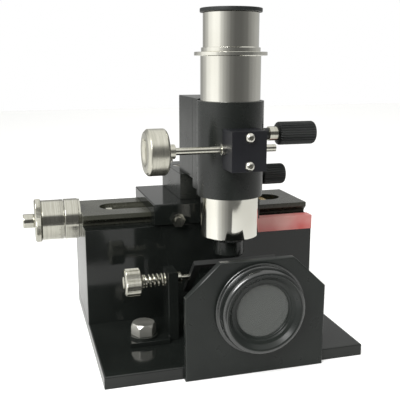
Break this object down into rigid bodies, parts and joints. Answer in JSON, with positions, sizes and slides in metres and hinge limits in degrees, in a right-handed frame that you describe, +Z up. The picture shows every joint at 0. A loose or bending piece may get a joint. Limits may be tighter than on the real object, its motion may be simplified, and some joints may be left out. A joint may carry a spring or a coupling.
{
  "type": "travelling microscope",
  "caption": "Travelling microscope on a bench for Newton's rings: dovetail carriage with micrometer screw, rack-focused tube, lens plate and tilting 45 degree glass.",
  "frame": {"origin": "centre of the base plate's underside", "axes": "+Z up along the microscope tube, +X along the dovetail bed away from the micrometer drum, +Y from the lens plate to the riser box"},
  "size_m": [0.1864, 0.1508, 0.1968],
  "materials": {
    "gloss_black_enamel": "gloss black enamel",
    "satin_black_enamel": "satin black enamel",
    "chrome_plate": "bright chrome plate",
    "bright_steel": "turned and brushed",
    "plated_fastener": "nickel plated",
    "spring_steel": "bright drawn",
    "brass": "machined",
    "black_knob_plastic": "straight knurled, satin",
    "red_enamel": "red enamel",
    "optical_glass": "polished"
  },
  "bodies": {
    "bench": {"base_plate": "gloss_black_enamel", "riser_front_panel": "gloss_black_enamel", "riser_rear_panel": "gloss_black_enamel", "riser_end_plates": "gloss_black_enamel", "riser_top_plate": "gloss_black_enamel", "dovetail_bed": "gloss_black_enamel", "socket_screws_m4": "plated_fastener", "label_strip": "red_enamel", "lens_plate": "gloss_black_enamel", "plate_angle": "gloss_black_enamel", "pan_screws_m3": "plated_fastener", "lens_cell": "satin_black_enamel", "condenser_lens": "optical_glass", "lens_keeper_ring": "satin_black_enamel", "cell_lock_ring": "satin_black_enamel", "glass_post": "gloss_black_enamel", "clamp_washer": "satin_black_enamel", "clamp_bolt": "plated_fastener", "tilt_spring": "spring_steel", "rings_cell_cup": "satin_black_enamel", "plane_glass": "optical_glass", "rings_lens": "optical_glass", "cell_clamp_ring": "satin_black_enamel", "cell_screws_m2": "plated_fastener", "micrometer_sleeve": "bright_steel", "screw_end_bearing": "brass"},
    "micrometer": {"lead_screw": "spring_steel", "micrometer_drum": "bright_steel", "drum_grip": "bright_steel"},
    "carriage": {"carriage_saddle": "gloss_black_enamel", "gib_strip": "satin_black_enamel", "gib_screws": "plated_fastener", "leadscrew_nut": "brass", "column_block": "gloss_black_enamel", "block_screws_m5": "plated_fastener", "column": "gloss_black_enamel", "height_bush": "bright_steel"},
    "height_drive": {"height_pinion_shaft": "bright_steel", "height_knob": "black_knob_plastic"},
    "lock_screw": {"lock_thumb_screw": "black_knob_plastic"},
    "slide": {"slide_plate": "gloss_black_enamel", "height_rack": "brass", "barrel": "satin_black_enamel", "pinion_block": "satin_black_enamel", "pinion_block_screws": "plated_fastener"},
    "focus_drive": {"focus_pinion_shaft": "bright_steel", "focus_knob": "bright_steel"},
    "tube": {"focusing_tube": "chrome_plate", "focus_rack": "brass", "nosepiece": "satin_black_enamel", "objective": "satin_black_enamel", "objective_lens": "optical_glass"},
    "eyepiece": {"eyepiece_barrel": "chrome_plate", "eyepiece_cap": "satin_black_enamel", "eyepiece_lenses": "optical_glass", "cross_wire_ring": "satin_black_enamel"},
    "glass_holder": {"tilt_thumb_screw": "bright_steel", "rod_collar": "bright_steel", "glass_frame": "satin_black_enamel", "tilting_glass": "optical_glass"}
  },
  "joints": [
    {"name": "micrometer_turn", "type": "hinge", "parent": "bench", "child": "micrometer", "pos_m": [-0.09, 0.036, 0.0682], "axis": [1, 0, 0], "range_deg": [-9010, 9010]},
    {"name": "carriage_slide", "type": "slide", "parent": "bench", "child": "carriage", "axis": [1, 0, 0], "range_m": [-0.025, 0.025]},
    {"name": "height_slide", "type": "slide", "parent": "carriage", "child": "slide", "axis": [0, 0, 1], "range_m": [-0.0005, 0.022]},
    {"name": "height_knob_turn", "type": "hinge", "parent": "carriage", "child": "height_drive", "pos_m": [0.03, 0.0073, 0.1226], "axis": [1, 0, 0], "range_deg": [-264, 8]},
    {"name": "lock_screw_turn", "type": "hinge", "parent": "carriage", "child": "lock_screw", "pos_m": [0.03, 0.022, 0.0936], "axis": [1, 0, 0], "range_deg": [-180, 90]},
    {"name": "focus_slide", "type": "slide", "parent": "slide", "child": "tube", "axis": [0, 0, 1], "range_m": [-0.0005, 0.018]},
    {"name": "focus_knob_turn", "type": "hinge", "parent": "slide", "child": "focus_drive", "pos_m": [0, -0.04722, 0.1212], "axis": [1, 0, 0], "range_deg": [-8, 248]},
    {"name": "eyepiece_slide", "type": "slide", "parent": "tube", "child": "eyepiece", "axis": [0, 0, 1], "range_m": [0, 0.012]},
    {"name": "glass_tilt", "type": "hinge", "parent": "bench", "child": "glass_holder", "pos_m": [0, -0.0265, 0.043], "axis": [1, 0, 0], "range_deg": [-3, 30]}
  ],
  "couplings": [
    {"joint": "micrometer_turn", "follows": "carriage_slide", "rad_per_m": -6283.2},
    {"joint": "height_knob_turn", "follows": "height_slide", "rad_per_m": -208.33},
    {"joint": "focus_knob_turn", "follows": "focus_slide", "rad_per_m": 238.1}
  ]
}
